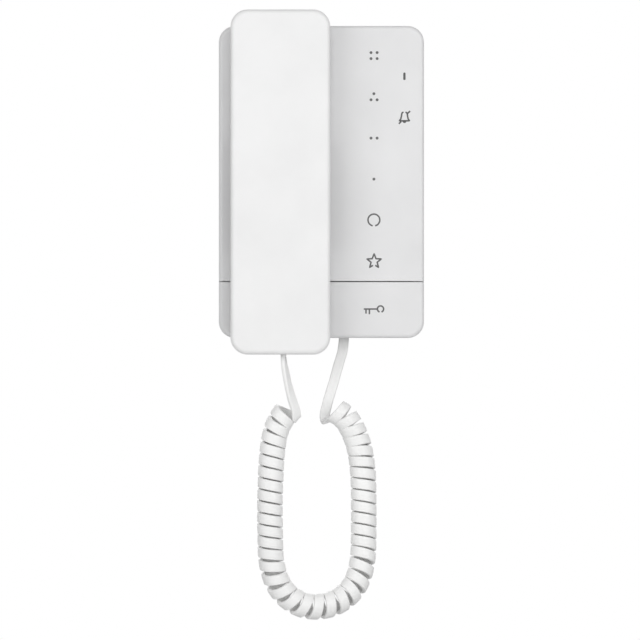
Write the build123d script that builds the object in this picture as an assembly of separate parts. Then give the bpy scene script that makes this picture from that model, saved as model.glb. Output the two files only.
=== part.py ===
from build123d import *
import math
import os

# Audio intercom handset on its wall base, with a curly cord between the two.
# Millimetres. X points right, Y points into the wall and Z up.
# The wall is the plane y = 0 and the origin is the middle of the base on the wall.
# Every "depth" below is a distance from the wall toward the user, so y = -depth.

# Base, outside
base_width = 106.5
base_height = 162.0
base_corner = 8.5
base_depth = 24.0
base_round = 2.0
shell_wall = 2.2
parting_depth = 9.0
rim_to_wall = 0.4

# Clearances and cutting
seat_gap = 0.1
fit_gap = 0.15
running_gap = 0.3
pin_gap = 0.05
overrun = 5.0

# Wall bracket
bracket_sheet = 1.2
bracket_width = 78.0
bracket_top = 62.0
bracket_bottom = -72.0
bracket_corner = 4.0
box_pitch_radius = 30.0
box_hole_radius = 2.1
box_hole_count = 4
window_width = 24.0
window_height = 28.0
window_to_terminal = 23.0
window_z = 0.0
window_corner = 3.0
hook_x = 25.0
hook_width = 8.0
hook_neck_top = 53.8
hook_rise = 5.2
tab_x = -25.0
tab_width = 12.0
tab_reach = 8.3

# Rear housing
floor_thickness = 2.0
bracket_room = 0.3
bracket_side_room = 0.5
lip_thickness = 1.2
lip_rise = 1.5
hook_slot_height = 7.0
post_radius = 3.0
post_height = 3.0
post_top_inset_x = 11.0
post_top_inset_z = 4.0
post_low_inset_x = 5.0
post_low_inset_z = 6.0

# Screws that hold the cover, the boards and the bracket
cover_screw_inset_x = 9.25
cover_screw_top_inset = 9.0
cover_screw_bottom_inset = 13.0
cover_boss_radius = 3.25
screw_radius = 1.45
screw_head_radius = 2.6
screw_head_height = 1.6
screw_length = 7.0
screw_slot_width = 0.7
screw_slot_depth = 0.8
board_screw_length = 3.4
lock_screw_radius = 1.5
lock_screw_depth = 5.5
lock_boss_radius = 2.9
lock_boss_height = 2.8
lock_screw_length = 9.0

# Circuit board and what it carries
board_side_room = 6.25
board_end_room = 18.0
board_middle_z = 1.0
board_thickness = 1.6
board_corner = 2.0
board_window_room = 1.0
terminal_width = 10.0
terminal_height = 24.0
terminal_depth = 10.0
terminal_edge_inset = 12.0
terminal_z = 0.0
terminal_ways = 4
terminal_screw_radius = 1.9
terminal_screw_height = 3.0
terminal_wire_hole = 3.4
capacitor_radius = 4.0
capacitor_height = 11.0
capacitor_edge_inset = 11.0
capacitor_pitch = 10.5
capacitor_z = -34.0
capacitor_crimp = 0.35
transformer_width = 15.0
transformer_height = 13.0
transformer_depth = 10.0
transformer_x = 2.0
transformer_z = -38.0
transformer_core = 5.0
chip_size = 12.0
chip_thickness = 1.5
chip_to_config = 5.3
chip_z = 34.0
chip_leg_reach = 1.2
chip_leg_thickness = 0.4
config_width = 9.0
config_height = 14.0
config_depth = 4.6
config_edge_inset = 20.0
config_z = 34.0
config_key_width = 1.4
config_key_depth = 1.0
config_key_count = 4
header_width = 2.5
header_height = 18.0
header_edge_inset = 5.5
header_z = -28.0

# Front cover
key_strip_height = 29.3
key_split_gap = 0.6
well_depth = 14.4
well_wall = 1.8
recess_room = 0.6
recess_sink = 3.0
rest_pad_width = 36.0
rest_pad_height = 6.0
rest_pad_above_key = 5.7
rest_pad_corner = 2.5

# Call sounder behind the handset
sounder_radius = 14.0
sounder_thickness = 6.0
sounder_z = -5.0
sounder_seat_wall = 1.2
sounder_magnet_radius = 7.0
sounder_magnet_share = 0.55
gasket_thickness = 1.0
gasket_band = 2.0
grille_hole_radius = 0.9
grille_pitch = 4.2
grille_rings = 2

# Touch board, light guide and lamp
touch_to_cradle = 11.0
touch_side_room = 3.75
touch_top_room = 15.0
touch_above_key = 5.7
touch_thickness = 1.0
slit_side_inset = 10.15
slit_top_inset = 26.1
slit_width = 1.2
slit_height = 3.9
guide_body_width = 3.2
guide_body_height = 6.0
lamp_size = 3.0
lamp_thickness = 1.4

# Hook switch and its plunger
hook_switch_size = 9.0
hook_switch_height = 7.0
hook_below_cup = 17.0
plunger_radius = 2.3
plunger_end_depth = 9.6

# Magnet in the base and steel plate in the handset
magnet_radius = 4.5
magnet_thickness = 4.0
magnet_seat_wall = 1.2
magnet_seat_rise = 3.2
magnet_top_inset = 5.2
catch_width = 16.0
catch_height = 5.2
catch_thickness = 1.5

# Door release key across the foot of the base
key_back_depth = 16.0
key_wall = 2.0
pivot_edge_inset = 9.0
pivot_depth = 18.6
pivot_pin_radius = 1.5
pivot_pin_reach = 4.6
ear_thickness = 3.0
ear_radius = 3.0
ear_side_room = 1.2
key_rib_width = 5.0
key_rib_height = 6.0

# Door switch under the key
door_switch_edge_inset = 17.0
door_switch_below_split = 5.3
door_switch_size = 8.0
door_switch_height = 3.5
stem_radius = 2.0
stem_end_depth = 9.6
stem_tip_depth = 17.3
key_spring_xs = [-20.0, 12.0]
key_spring_below_split = 7.3
key_spring_radius = 2.6
key_spring_wire = 0.35
key_spring_turns = 5
key_spring_seat = 0.9

# Modular sockets and plugs
jack_width = 11.0
jack_thickness = 8.8
jack_length = 13.5
plug_width = 7.65
plug_thickness = 5.6
plug_length = 11.5
latch_width = 3.0
latch_thickness = 1.0
latch_length = 9.5
jack_recess = 0.2
base_jack_x = 11.7
base_jack_depth = 8.0
handset_jack_x = -19.7
handset_jack_depth = 36.0

# Handset, outside
handset_width = 51.8
handset_height = 179.2
handset_corner = 9.0
handset_side_inset = 6.05
handset_front_depth = 46.0
handset_part_depth = 38.0
handset_round = 2.6
handset_wall = 2.2
ear_back_depth = 26.0
mouth_back_depth = 26.5
grip_back_depth = 34.0
grip_top = 14.0
grip_bottom = -30.0
grip_slope = 9.0
heel_radius = 5.0
slope_radius = 7.0
cup_side_inset = 3.9
cup_height = 48.0
cup_below_top = 30.0
cup_corner = 7.4
cup_back_depth = 21.5
cup_round = 1.0
dish_radius = 15.0
dish_sink = 0.7

# Handset, inside
receiver_radius = 14.0
receiver_thickness = 7.5
receiver_seat_wall = 1.3
receiver_seat_rise = 4.8
receiver_magnet_radius = 9.0
receiver_magnet_share = 0.45
ear_hole_radius = 0.8
ear_hole_pitch = 3.6
ear_hole_rings = 2
mic_radius = 4.85
mic_thickness = 4.5
mic_end_inset = 25.6
mic_boot_wall = 1.3
mic_boot_thickness = 6.0
mic_hole_radius = 0.7
mic_hole_pitch = 3.0
mic_seat_wall = 1.2
mic_seat_rise = 4.3
handset_board_width = 26.0
handset_board_height = 19.0
handset_board_end_inset = 24.6
handset_board_thickness = 1.2
handset_board_depth = 36.4
handset_board_post_inset = 3.0
handset_board_post_radius = 1.8
weight_width = 34.0
weight_height = 26.0
weight_thickness = 5.0
weight_corner = 2.0
handset_screw_inset = 3.5
handset_boss_radius = 3.2
handset_screw_length = 6.0
handset_screw_pad = 1.2
wire_radius = 0.6
wire_side_inset = 5.2

# Flat curly cord
cord_width = 4.5
cord_thickness = 2.3
coil_radius = 5.5
coil_end_run = 4.6
first_phase = 25.0
last_phase = 170.0
whole_turns = 38
leg_turns_share = 0.355
leg_length_share = 0.3325
stations_per_turn = 2
guide_reach = 3.0
arc_share = 0.45
straight_limit = 1e-9
fold_exit_run = 3.4
steps_per_sweep = 6
twist_start_share = 0.2
twist_length_share = 0.5
lead_stations = 24
gap_stations_per_turn = 30
neighbour_turns_share = 1 / 6
slope_step_turns = 1 / 360

# Points of the coil's axis, from the base side to the handset side: x, depth and z
axis_route = [
    (9.9, 12.5, -119.1), (16.6, 12.6, -130.0), (21.3, 12.8, -146.0), (22.1, 13.6, -172.0),
    (21.6, 15.6, -205.0), (8.2, 19.2, -219.9), (-11.8, 23.4, -221.0), (-26.0, 27.0, -206.0),
    (-26.9, 29.4, -173.5), (-25.7, 30.2, -147.5), (-24.2, 30.5, -132.5), (-20.6, 30.6, -122.8),
]
# Points of the leads between the plugs and the folds at the coil
base_lead_route = [
    (11.7, 8.0, -80.8), (11.7, 8.0, -90.2), (9.1, 11.2, -99.2), (3.9, 16.2, -107.0),
    (0.4, 20.6, -115.2),
]
handset_lead_route = [
    (-19.7, 36.0, -89.4), (-19.7, 36.0, -97.4), (-17.0, 32.2, -105.0), (-13.2, 28.3, -111.6),
    (-9.4, 25.6, -118.2),
]

# Values worked out from those above
base_top_z = base_height / 2
base_bottom_z = -base_height / 2
board_width = base_width - 2 * board_side_room
board_height = base_height - 2 * board_end_room
post_top_z = board_middle_z + board_height / 2 - post_top_inset_z
post_low_z = board_middle_z - board_height / 2 + post_low_inset_z
board_post_places = [
    (-board_width / 2 + post_top_inset_x, post_top_z), (board_width / 2 - post_top_inset_x, post_top_z),
    (-board_width / 2 + post_low_inset_x, post_low_z), (board_width / 2 - post_low_inset_x, post_low_z),
]
terminal_x = board_width / 2 - terminal_edge_inset
window_x = terminal_x - window_to_terminal
capacitor_x = -board_width / 2 + capacitor_edge_inset
capacitor_xs = [capacitor_x, capacitor_x + capacitor_pitch]
config_x = board_width / 2 - config_edge_inset
chip_x = config_x - config_width / 2 - chip_to_config - chip_leg_reach - chip_size / 2
key_split_z = base_bottom_z + key_strip_height
rest_pad_z = key_split_z + rest_pad_above_key
pivot_z = base_bottom_z + pivot_edge_inset
door_switch_x = board_width / 2 - door_switch_edge_inset
door_switch_z = key_split_z - door_switch_below_split
key_spring_z = key_split_z - key_spring_below_split
handset_x = handset_side_inset + handset_width / 2 - base_width / 2
cup_width = handset_width - 2 * cup_side_inset
recess_width = cup_width + 2 * recess_room
touch_left_x = handset_x + recess_width / 2 + shell_wall + touch_to_cradle
touch_width = base_width / 2 - touch_side_room - touch_left_x
touch_x = touch_left_x + touch_width / 2
touch_height = base_top_z - touch_top_room - key_split_z - touch_above_key
touch_z = base_top_z - touch_top_room - touch_height / 2
header_x = touch_left_x + header_edge_inset
slit_x = base_width / 2 - slit_side_inset
slit_z = base_top_z - slit_top_inset
cup_z = base_top_z - cup_below_top
recess_height = cup_height + 2 * recess_room
recess_corner = cup_corner + recess_room
magnet_z = cup_z + cup_height / 2 - magnet_top_inset
hook_switch_z = cup_z - hook_below_cup
mic_z = -handset_height / 2 + mic_end_inset
handset_board_z = -handset_height / 2 + handset_board_end_inset
weight_z = (grip_top + grip_bottom) / 2
handset_screw_zs = [grip_bottom + handset_screw_inset, grip_top - handset_screw_inset]
wire_side_x = handset_x - handset_width / 2 + wire_side_inset
floor_back_depth = bracket_sheet + bracket_room
floor_front_depth = floor_back_depth + floor_thickness
board_back_depth = floor_front_depth + post_height
board_front_depth = board_back_depth + board_thickness
part_seat_depth = board_front_depth + seat_gap
cover_inner_depth = base_depth - shell_wall
recess_depth = base_depth - recess_sink
recess_back_depth = recess_depth - shell_wall
cover_edge_z = key_split_z + key_split_gap / 2
key_top_z = key_split_z - key_split_gap / 2
jack_mouth_z = base_bottom_z + jack_recess
handset_bottom_z = -handset_height / 2
handset_mouth_z = handset_bottom_z + jack_recess
handset_inner_depth = handset_front_depth - handset_wall
cup_inner_depth = cup_back_depth + handset_wall
mouth_inner_depth = mouth_back_depth + handset_wall
touch_back_depth = cover_inner_depth - seat_gap - touch_thickness
cover_screw_places = [
    (side * (base_width / 2 - cover_screw_inset_x), z)
    for side in (-1, 1)
    for z in (base_height / 2 - cover_screw_top_inset, base_bottom_z + cover_screw_bottom_inset)
]
coil_turns = whole_turns + (last_phase - first_phase) / 360


def slab(width, height, thickness, x, depth, z, corner=0):
    """Upright plate whose back face lies at the given depth."""
    outline = RectangleRounded(width, height, corner) if corner else Rectangle(width, height)
    return Pos(x, -depth, z) * extrude(Plane.XZ * outline, thickness)


def rod(radius, length, x, depth, z):
    """Round bar along the depth direction, from the given depth toward the user."""
    return Pos(x, -depth, z) * extrude(Plane.XZ * Circle(radius), length)


def pipe(outer, inner, length, x, depth, z):
    """Round tube along the depth direction."""
    return rod(outer, length, x, depth, z) - rod(inner, length, x, depth, z)


def half_space(z, align):
    """Everything above or below z, wider and deeper than the object."""
    reach = base_height + handset_height
    return Pos(0, 0, z) * Box(reach, reach, reach, align=(Align.CENTER, Align.CENTER, align))


def soften_front(body, radius):
    """Round the outer edge of the face nearest the user."""
    return fillet(body.faces().sort_by(Axis.Y)[0].edges(), radius)


def soften_back(body, radius):
    """Round the outer edge of the face nearest the wall."""
    return fillet(body.faces().sort_by(Axis.Y)[-1].edges(), radius)


def base_block(inset, back, front):
    """The base's rounded outline, drawn in by inset, between two depths."""
    width, height = base_width - 2 * inset, base_height - 2 * inset
    return slab(width, height, front - back, 0, back, 0, base_corner - inset)


def handset_block(inset, back, front):
    """The handset's rounded outline, drawn in by inset, between two depths."""
    width, height = handset_width - 2 * inset, handset_height - 2 * inset
    return slab(width, height, front - back, handset_x, back, 0, handset_corner - inset)


def cup_block(inset, back, front):
    """The ear cup's rounded outline, drawn in by inset, between two depths."""
    width, height = cup_width - 2 * inset, cup_height - 2 * inset
    return slab(width, height, front - back, handset_x, back, cup_z, cup_corner - inset)


def ring_places(pitch, rings):
    """A place in the middle and rings of places round it, six more in each ring."""
    places = [(0, 0)]
    for ring in range(1, rings + 1):
        count = 6 * ring
        for index in range(count):
            angle = 2 * math.pi * index / count
            places.append((pitch * ring * math.cos(angle), pitch * ring * math.sin(angle)))
    return places


def hole_field(radius, pitch, rings, x, back, front, z):
    """Drills for a round field of small holes, between two depths."""
    length = front - back
    return [rod(radius, length, x + along, back, z + up) for along, up in ring_places(pitch, rings)]


def screw(radius, head_radius, head_height, length, x, depth, z):
    """Screw driven toward the user, with the back of its head at the given depth."""
    body = rod(head_radius, head_height, x, depth, z) + rod(radius, head_height + length, x, depth, z)
    body -= slab(screw_slot_width, head_radius, screw_slot_depth, x, depth, z)
    body -= slab(head_radius, screw_slot_width, screw_slot_depth, x, depth, z)
    return body


def screw_to_wall(length, x, depth, z):
    """Screw driven toward the wall, with the top of its head at the given depth."""
    return Pos(x, -depth, z) * Rot(0, 0, 180) * screw(
        screw_radius, screw_head_radius, screw_head_height, length, 0, 0, 0
    )


def wall_bracket():
    """Steel plate on the wall box, with two hooks above and a tapped tab below for the housing."""
    height = bracket_top - bracket_bottom
    middle = (bracket_top + bracket_bottom) / 2
    through = bracket_sheet + 2 * overrun
    plate = slab(bracket_width, height, bracket_sheet, 0, 0, middle, bracket_corner)
    for index in range(box_hole_count):
        angle = 2 * math.pi * index / box_hole_count
        x = box_pitch_radius * math.cos(angle)
        z = box_pitch_radius * math.sin(angle)
        plate -= rod(box_hole_radius, through, x, -overrun, z)
    plate -= slab(window_width, window_height, through, window_x, -overrun, window_z, window_corner)
    tongue_depth = floor_front_depth + running_gap
    tongue_height = hook_rise + bracket_sheet
    tongue_z = hook_neck_top - bracket_sheet + tongue_height / 2
    for side in (-1, 1):
        neck_reach = tongue_depth + bracket_sheet
        neck_z = hook_neck_top - bracket_sheet / 2
        plate += slab(hook_width, bracket_sheet, neck_reach, side * hook_x, 0, neck_z)
        plate += slab(hook_width, tongue_height, bracket_sheet, side * hook_x, tongue_depth, tongue_z)
    plate += slab(tab_width, bracket_sheet, tab_reach, tab_x, 0, bracket_bottom + bracket_sheet / 2)
    tap = Cylinder(lock_screw_radius + pin_gap, 2 * overrun)
    return plate - Pos(tab_x, -lock_screw_depth, bracket_bottom) * tap


def rear_housing():
    """Moulded tray: a floor over the bracket, side walls with a lip, and posts for the main board."""
    body = base_block(0, rim_to_wall, parting_depth)
    body -= base_block(shell_wall, floor_front_depth, parting_depth + overrun)
    lip_inset = shell_wall + fit_gap
    lip = base_block(lip_inset, floor_front_depth, parting_depth + lip_rise)
    lip += base_block(shell_wall / 2, floor_front_depth, parting_depth)
    lip -= base_block(lip_inset + lip_thickness, floor_front_depth - overrun, parting_depth + overrun)
    body += lip - half_space(cover_edge_z, Align.MAX)
    recess_side = bracket_width + 2 * bracket_side_room
    recess_top = bracket_top - bracket_bottom + 2 * bracket_side_room
    middle = (bracket_top + bracket_bottom) / 2
    body -= slab(recess_side, recess_top, floor_back_depth + overrun, 0, -overrun, middle, bracket_corner)
    through = floor_front_depth + 2 * overrun
    body -= slab(window_width, window_height, through, window_x, -overrun, window_z, window_corner)
    slot_z = hook_neck_top + fit_gap - hook_slot_height / 2
    for side in (-1, 1):
        body -= slab(hook_width + 2 * running_gap, hook_slot_height, through, side * hook_x, -overrun, slot_z)
    tab_slot = bracket_sheet + 2 * running_gap
    tab_z = bracket_bottom + bracket_sheet / 2
    body -= slab(tab_width + 2 * running_gap, tab_slot, through, tab_x, -overrun, tab_z)
    inner_bottom_z = base_bottom_z + shell_wall
    boss = Cylinder(lock_boss_radius, lock_boss_height, align=(Align.CENTER, Align.CENTER, Align.MIN))
    body += Pos(tab_x, -lock_screw_depth, inner_bottom_z - fit_gap) * boss
    drill = Cylinder(lock_screw_radius + pin_gap, 4 * overrun)
    sink = Cylinder(screw_head_radius + pin_gap, 2 * (screw_head_height + seat_gap))
    body -= Pos(tab_x, -lock_screw_depth, base_bottom_z) * (drill + sink)
    for x, z in board_post_places:
        body += rod(post_radius, post_height, x, floor_front_depth, z)
        body -= rod(screw_radius + pin_gap, through, x, floor_front_depth, z)
    for x, z in cover_screw_places:
        body -= rod(screw_radius + pin_gap, through, x, -overrun, z)
        sink_reach = screw_head_height + seat_gap + overrun
        body -= rod(screw_head_radius + pin_gap, sink_reach, x, rim_to_wall - overrun, z)
    return body - jack_opening(base_jack_x, base_jack_depth, base_bottom_z, 0)


def front_cover():
    """Moulded front: face, cradle recess, well for the door key, bosses, seats and grille."""
    body = soften_front(base_block(0, parting_depth, base_depth), base_round)
    body -= half_space(cover_edge_z, Align.MAX) & base_block(-overrun, well_depth, base_depth + overrun)
    hollow = base_block(shell_wall, parting_depth - overrun, cover_inner_depth)
    hollow -= half_space(cover_edge_z + shell_wall, Align.MAX)
    body -= hollow + base_block(shell_wall, parting_depth - overrun, well_depth - well_wall)
    pocket_depth = base_depth - recess_back_depth - base_round
    body += slab(
        recess_width + 2 * shell_wall, recess_height + 2 * shell_wall, pocket_depth,
        handset_x, recess_back_depth, cup_z, recess_corner + shell_wall,
    )
    pad_rise = mouth_back_depth - running_gap - base_depth
    body += slab(rest_pad_width, rest_pad_height, pad_rise, handset_x, base_depth, rest_pad_z, rest_pad_corner)
    for x, z in cover_screw_places:
        boss_top = cover_inner_depth if z > cover_edge_z else well_depth - well_wall
        boss_back = floor_front_depth + seat_gap
        body += rod(cover_boss_radius, boss_top - boss_back, x, boss_back, z)
        body -= rod(screw_radius + pin_gap, rim_to_wall + screw_length + seat_gap, x, 0, z)
    body -= slab(recess_width, recess_height, recess_sink + overrun, handset_x, recess_depth, cup_z, recess_corner)
    body += pipe(
        sounder_radius + fit_gap + sounder_seat_wall, sounder_radius + fit_gap,
        sounder_thickness + gasket_thickness, handset_x,
        cover_inner_depth - sounder_thickness - gasket_thickness, sounder_z,
    )
    body -= hole_field(
        grille_hole_radius, grille_pitch, grille_rings, handset_x,
        cover_inner_depth - seat_gap, base_depth + overrun, sounder_z,
    )
    seat_radius = magnet_radius + fit_gap
    body += pipe(
        seat_radius + magnet_seat_wall, seat_radius, magnet_seat_rise,
        handset_x, recess_back_depth - magnet_seat_rise, magnet_z,
    )
    through = base_depth - recess_back_depth + overrun
    body -= rod(plunger_radius + running_gap, through, handset_x, recess_back_depth - seat_gap, hook_switch_z)
    slit_corner = slit_width / 2 - seat_gap
    body -= slab(slit_width, slit_height, through, slit_x, cover_inner_depth - seat_gap, slit_z, slit_corner)
    body -= rod(
        stem_radius + running_gap, well_wall + 2 * overrun, door_switch_x,
        well_depth - well_wall - overrun, door_switch_z,
    )
    return add_key_ears(body) - jack_opening(base_jack_x, base_jack_depth, base_bottom_z, 0)


def ear_centre(side):
    """X of the middle of an ear that carries one end of the door key."""
    return side * (base_width / 2 - key_wall - ear_side_room - ear_thickness / 2)


def add_key_ears(body):
    """Ears in the well, drilled for the key's pivot pins, and seats for its springs."""
    for side in (-1, 1):
        x = ear_centre(side)
        block = Box(ear_thickness, pivot_depth - well_depth, 2 * ear_radius)
        ear = Pos(x, -(pivot_depth + well_depth) / 2, pivot_z) * block
        ear += Pos(x, -pivot_depth, pivot_z) * Rot(0, 90, 0) * Cylinder(ear_radius, ear_thickness)
        bore = Cylinder(pivot_pin_radius + pin_gap, ear_thickness + 2 * overrun)
        body += ear
        body -= Pos(x, -pivot_depth, pivot_z) * Rot(0, 90, 0) * bore
    for x in key_spring_xs:
        seat_radius = key_spring_radius + key_spring_wire + fit_gap
        body += pipe(seat_radius + key_spring_seat, seat_radius, key_spring_seat, x, well_depth, key_spring_z)
    return body


def lock_release_key():
    """Full-width door key with a hollow back, pivot pins at its foot and a rib over the switch."""
    body = soften_front(base_block(0, key_back_depth, base_depth), base_round)
    body &= half_space(key_top_z, Align.MAX)
    hollow = base_block(key_wall, key_back_depth - overrun, base_depth - key_wall)
    body -= hollow & half_space(key_top_z - key_wall, Align.MAX)
    for side in (-1, 1):
        reach = pivot_pin_reach + key_wall / 2
        start = side * (base_width / 2 - key_wall / 2 - reach / 2)
        body += Pos(start, -pivot_depth, pivot_z) * Rot(0, 90, 0) * Cylinder(pivot_pin_radius, reach)
    rib_back = stem_tip_depth + running_gap
    body += slab(
        key_rib_width, key_rib_height, base_depth - key_wall / 2 - rib_back,
        door_switch_x, rib_back, door_switch_z,
    )
    return body


def cover_screws():
    """Four screws through the rear housing into the cover's bosses."""
    depth = rim_to_wall + seat_gap
    length = screw_length - screw_head_height
    return [
        screw(screw_radius, screw_head_radius, screw_head_height - seat_gap, length, x, depth, z)
        for x, z in cover_screw_places
    ]


def board_screws():
    """Four screws through the main board into the housing's posts."""
    depth = board_front_depth + screw_head_height
    return [screw_to_wall(board_screw_length, x, depth, z) for x, z in board_post_places]


def bracket_lock_screw():
    """Screw at the foot that locks the housing to the bracket's tab."""
    upright = Rot(90, 0, 0) * screw(
        lock_screw_radius, screw_head_radius, screw_head_height, lock_screw_length, 0, 0, 0
    )
    return Pos(tab_x, -lock_screw_depth, base_bottom_z + seat_gap) * Rot(180, 0, 0) * upright


def main_board():
    """Circuit board with a window for the riser cable and holes for its screws."""
    board = slab(board_width, board_height, board_thickness, 0, board_back_depth, board_middle_z, board_corner)
    room = 2 * board_window_room
    through = board_thickness + 2 * overrun
    back = board_back_depth - overrun
    board -= slab(window_width + room, window_height + room, through, window_x, back, window_z, window_corner)
    for x, z in board_post_places:
        board -= rod(screw_radius + pin_gap, through, x, back, z)
    return board


def terminal_places():
    """Height of each way of the terminal block."""
    pitch = terminal_height / terminal_ways
    return [terminal_z + pitch * (index - (terminal_ways - 1) / 2) for index in range(terminal_ways)]


def terminal_block():
    """Terminal block for the riser wires: a screw pocket and a wire hole for each way."""
    body = slab(terminal_width, terminal_height, terminal_depth, terminal_x, part_seat_depth, terminal_z)
    body = chamfer(body.faces().sort_by(Axis.Y)[0].edges().filter_by(Axis.Z), terminal_width / 8)
    pocket_back = part_seat_depth + terminal_depth - terminal_screw_height - seat_gap
    for z in terminal_places():
        body -= rod(terminal_screw_radius + fit_gap, terminal_screw_height + overrun, terminal_x, pocket_back, z)
        entry = Box(terminal_width, terminal_wire_hole, terminal_wire_hole)
        body -= Pos(terminal_x - terminal_width / 2, -part_seat_depth - terminal_wire_hole, z) * entry
    return body


def terminal_screws():
    """The clamp screws in the terminal block's pockets."""
    back = part_seat_depth + terminal_depth - terminal_screw_height
    screws = []
    for z in terminal_places():
        head = rod(terminal_screw_radius, terminal_screw_height - seat_gap, terminal_x, back, z)
        slot_back = back + terminal_screw_height - screw_slot_depth
        slot = slab(2 * terminal_screw_radius, screw_slot_width, overrun, terminal_x, slot_back, z)
        screws.append(head - slot)
    return screws


def electrolytic_capacitors():
    """Two can capacitors, each with a crimp near its foot."""
    cans = []
    for x in capacitor_xs:
        can = soften_front(rod(capacitor_radius, capacitor_height, x, part_seat_depth, capacitor_z), capacitor_crimp)
        band_back = part_seat_depth + capacitor_radius / 2
        band = pipe(
            capacitor_radius + overrun, capacitor_radius - capacitor_crimp, 2 * capacitor_crimp,
            x, band_back, capacitor_z,
        )
        cans.append(can - band)
    return cans


def line_transformer():
    """Audio transformer: a laminated core with its winding across the middle."""
    core = slab(
        transformer_width, transformer_core, transformer_depth,
        transformer_x, part_seat_depth, transformer_z,
    )
    winding_back = part_seat_depth + transformer_depth / 8
    winding = slab(
        transformer_width - transformer_core, transformer_height, transformer_depth * 3 / 4,
        transformer_x, winding_back, transformer_z, transformer_core / 3,
    )
    return core + winding


def control_chip():
    """Flat control chip with a skirt of legs on its four sides."""
    body = slab(chip_size, chip_size, chip_thickness, chip_x, part_seat_depth, chip_z)
    span = chip_size + 2 * chip_leg_reach
    pitch = chip_leg_reach
    count = int(chip_size / pitch) - 1
    for index in range(count):
        shift = pitch * (index - (count - 1) / 2)
        body += slab(chip_leg_thickness, span, chip_leg_thickness, chip_x + shift, part_seat_depth, chip_z)
        body += slab(span, chip_leg_thickness, chip_leg_thickness, chip_x, part_seat_depth, chip_z + shift)
    return body


def config_switch():
    """Address switch: a row of small slide keys in a block."""
    body = slab(config_width, config_height, config_depth, config_x, part_seat_depth, config_z)
    pitch = config_height / config_key_count
    front = part_seat_depth + config_depth
    for index in range(config_key_count):
        z = config_z + pitch * (index - (config_key_count - 1) / 2)
        slot_depth = front - config_key_depth
        body -= slab(config_width / 2, config_key_width, overrun, config_x, slot_depth, z)
        side = 1 if index % 2 else -1
        key_x = config_x + side * (config_width / 4 - config_key_width / 2)
        body += slab(config_key_width, config_key_width, config_key_depth, key_x, slot_depth, z)
    return body


def board_header():
    """Pin header between the main board and the touch board."""
    length = touch_back_depth - seat_gap - part_seat_depth
    return slab(header_width, header_height, length, header_x, part_seat_depth, header_z)


def ringer_speaker():
    """Call sounder: a flat round frame with its magnet behind."""
    front = cover_inner_depth - gasket_thickness - 2 * seat_gap
    magnet = sounder_thickness * sounder_magnet_share
    rim = rod(sounder_radius, sounder_thickness - magnet, handset_x, front - sounder_thickness + magnet, sounder_z)
    return rim + rod(sounder_magnet_radius, magnet, handset_x, front - sounder_thickness, sounder_z)


def ringer_gasket():
    """Foam ring between the call sounder and the cover."""
    back = cover_inner_depth - gasket_thickness - seat_gap
    return pipe(sounder_radius, sounder_radius - gasket_band, gasket_thickness, handset_x, back, sounder_z)


def touch_board():
    """Touch sensing board stuck behind the symbols on the cover."""
    board = slab(touch_width, touch_height, touch_thickness, touch_x, touch_back_depth, touch_z, board_corner)
    room = 2 * running_gap
    return board - slab(
        guide_body_width + room, guide_body_height + room, touch_thickness + 2 * overrun,
        slit_x, touch_back_depth - overrun, slit_z,
    )


def light_guide():
    """Clear guide that carries the lamp's light from the main board to the slit."""
    back = part_seat_depth + lamp_thickness + seat_gap
    shoulder = cover_inner_depth - seat_gap
    body = slab(guide_body_width, guide_body_height, shoulder - back, slit_x, back, slit_z, guide_body_width / 4)
    tip_width = slit_width - fit_gap
    return body + slab(
        tip_width, slit_height - fit_gap, base_depth - seat_gap - back,
        slit_x, back, slit_z, tip_width / 2 - pin_gap,
    )


def status_lamp():
    """Small lamp on the main board behind the light guide."""
    return slab(lamp_size, lamp_size, lamp_thickness, slit_x, part_seat_depth, slit_z)


def hook_switch():
    """Hook switch body on the main board, bored for its plunger."""
    body = slab(
        hook_switch_size, hook_switch_size, hook_switch_height,
        handset_x, part_seat_depth, hook_switch_z,
    )
    bore_back = plunger_end_depth - running_gap
    return body - rod(plunger_radius + running_gap, hook_switch_height + overrun, handset_x, bore_back, hook_switch_z)


def hook_plunger():
    """Plunger that the handset holds down by its ear cup."""
    tip = cup_back_depth - running_gap
    bar = rod(plunger_radius, tip - plunger_end_depth, handset_x, plunger_end_depth, hook_switch_z)
    return soften_front(bar, plunger_radius / 2)


def holding_magnet():
    """Magnet behind the cradle recess."""
    depth = recess_back_depth - seat_gap - magnet_thickness
    return rod(magnet_radius, magnet_thickness, handset_x, depth, magnet_z)


def door_switch():
    """Door switch body on the main board, bored for its stem."""
    body = slab(
        door_switch_size, door_switch_size, door_switch_height,
        door_switch_x, part_seat_depth, door_switch_z,
    )
    bore_back = part_seat_depth + running_gap
    return body - rod(stem_radius + running_gap, door_switch_height + overrun, door_switch_x, bore_back, door_switch_z)


def door_switch_stem():
    """Stem that passes the door key's push on to its switch."""
    bar = rod(stem_radius, stem_tip_depth - stem_end_depth, door_switch_x, stem_end_depth, door_switch_z)
    return soften_front(bar, stem_radius / 4)


def jack_opening(x, depth, bottom_z, turned):
    """Cut through a wall for the mouth of a socket."""
    cut = Box(jack_width + 2 * fit_gap, jack_thickness + 2 * fit_gap, 2 * jack_length)
    return Pos(x, -depth, bottom_z) * Rot(0, 0, turned) * cut


def low_box(width, thickness, height):
    """Box that stands on z = 0."""
    return Box(width, thickness, height, align=(Align.CENTER, Align.CENTER, Align.MIN))


def plug_shape(room):
    """Modular plug standing on its cable end, with its latch, grown by room all round."""
    body = low_box(plug_width + 2 * room, plug_thickness + 2 * room, plug_length + room)
    latch = low_box(latch_width + 2 * room, latch_thickness + 2 * room, latch_length + room)
    return body + Pos(0, plug_thickness / 2 + latch_thickness / 2, 0) * latch


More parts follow.
